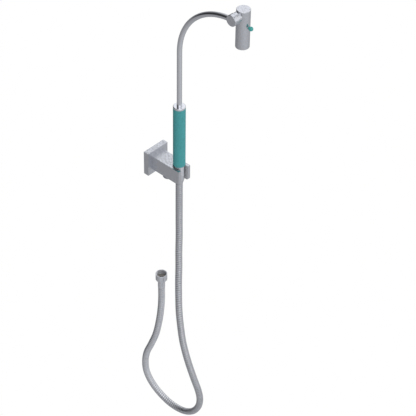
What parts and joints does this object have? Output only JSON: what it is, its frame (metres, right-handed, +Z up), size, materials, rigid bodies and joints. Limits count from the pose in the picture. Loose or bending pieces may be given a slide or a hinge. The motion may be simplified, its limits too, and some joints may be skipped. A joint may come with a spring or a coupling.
{
  "type": "emergency hand-held safety shower",
  "caption": "Hand-held emergency shower: a wall outlet with a cradle, a grip on a swan-neck tube with a tilting spray head and pull valve, and a hanging metal hose.",
  "frame": {"origin": "centre of the cover plate on the wall, on the axis of the wall inlet", "axes": "+Z up, +Y into the wall, -Y out into the room, +X to the right as seen from the room"},
  "size_m": [0.0968, 0.2349, 1.0697],
  "materials": {
    "satin_steel": "satin stainless steel",
    "polished_steel": "polished chrome on steel",
    "hose": "bright interlocked steel strip",
    "teal_grip": "fine-grained matt teal",
    "teal_ball": "smooth teal",
    "white_plastic": "plain white moulding",
    "liner": "dark grey moulding",
    "fibre": "pressed fibre",
    "rubber": "matt black",
    "brass": "machined"
  },
  "bodies": {
    "bracket": {"cover_plate": "satin_steel", "plate_seal": "rubber", "bracket_arm": "satin_steel", "cradle_liner": "liner", "wall_nipple": "brass", "outlet_nipple": "satin_steel", "plate_screw": "polished_steel", "check_valve_body": "white_plastic", "check_valve_spring": "polished_steel"},
    "poppet": {"check_valve_poppet": "white_plastic"},
    "hose": {"hose_tube": "hose", "hose_lining": "rubber", "upper_ferrule": "satin_steel", "upper_washer": "fibre", "lower_ferrule": "satin_steel", "lower_washer": "fibre"},
    "nut": {"supply_nut": "polished_steel"},
    "handset": {"cone_nut": "polished_steel", "handset_connector": "satin_steel", "core_washer": "rubber", "flow_regulator": "white_plastic", "grip_core": "brass", "grip_sleeve": "teal_grip", "grip_cap": "polished_steel", "cap_seal": "rubber", "tube_olive": "brass", "swan_neck": "polished_steel", "swivel_housing": "satin_steel", "swivel_spindle": "brass", "spindle_seal": "rubber"},
    "head": {"swivel_screw": "polished_steel", "head_barrel": "satin_steel", "valve_block": "brass", "block_seal": "rubber", "stem_gland": "satin_steel", "strainer": "polished_steel", "spacer_sleeve": "white_plastic", "spray_seal": "rubber", "spray_plate": "polished_steel", "spray_ring": "satin_steel"},
    "knob": {"valve_spool": "polished_steel", "spool_seals": "rubber", "ball_knob": "teal_ball"}
  },
  "joints": [
    {"name": "check_valve_open", "type": "slide", "parent": "bracket", "child": "poppet", "axis": [0, 0, -1], "range_m": [0, 0.0025], "stiffness_N_per_m": 60, "springref_m": -0.001, "deforming": ["check_valve_spring"]},
    {"name": "handset_lift", "type": "slide", "parent": "bracket", "child": "hose", "axis": [0, 0, 1], "range_m": [0, 0.06]},
    {"name": "supply_nut_turn", "type": "hinge", "parent": "hose", "child": "nut", "pos_m": [-0.027, -0.046, -0.275], "axis": [0, 0, 1], "continuous": true},
    {"name": "handset_turn", "type": "hinge", "parent": "hose", "child": "handset", "pos_m": [0, -0.07, -0.01], "axis": [0, 0, 1], "range_deg": [-90, 90]},
    {"name": "head_tilt", "type": "hinge", "parent": "handset", "child": "head", "pos_m": [0.005, -0.1975, 0.414], "axis": [1, 0, 0], "range_deg": [-45, 45]},
    {"name": "knob_pull", "type": "slide", "parent": "head", "child": "knob", "axis": [0, -1, 0], "range_m": [0, 0.0055]}
  ]
}
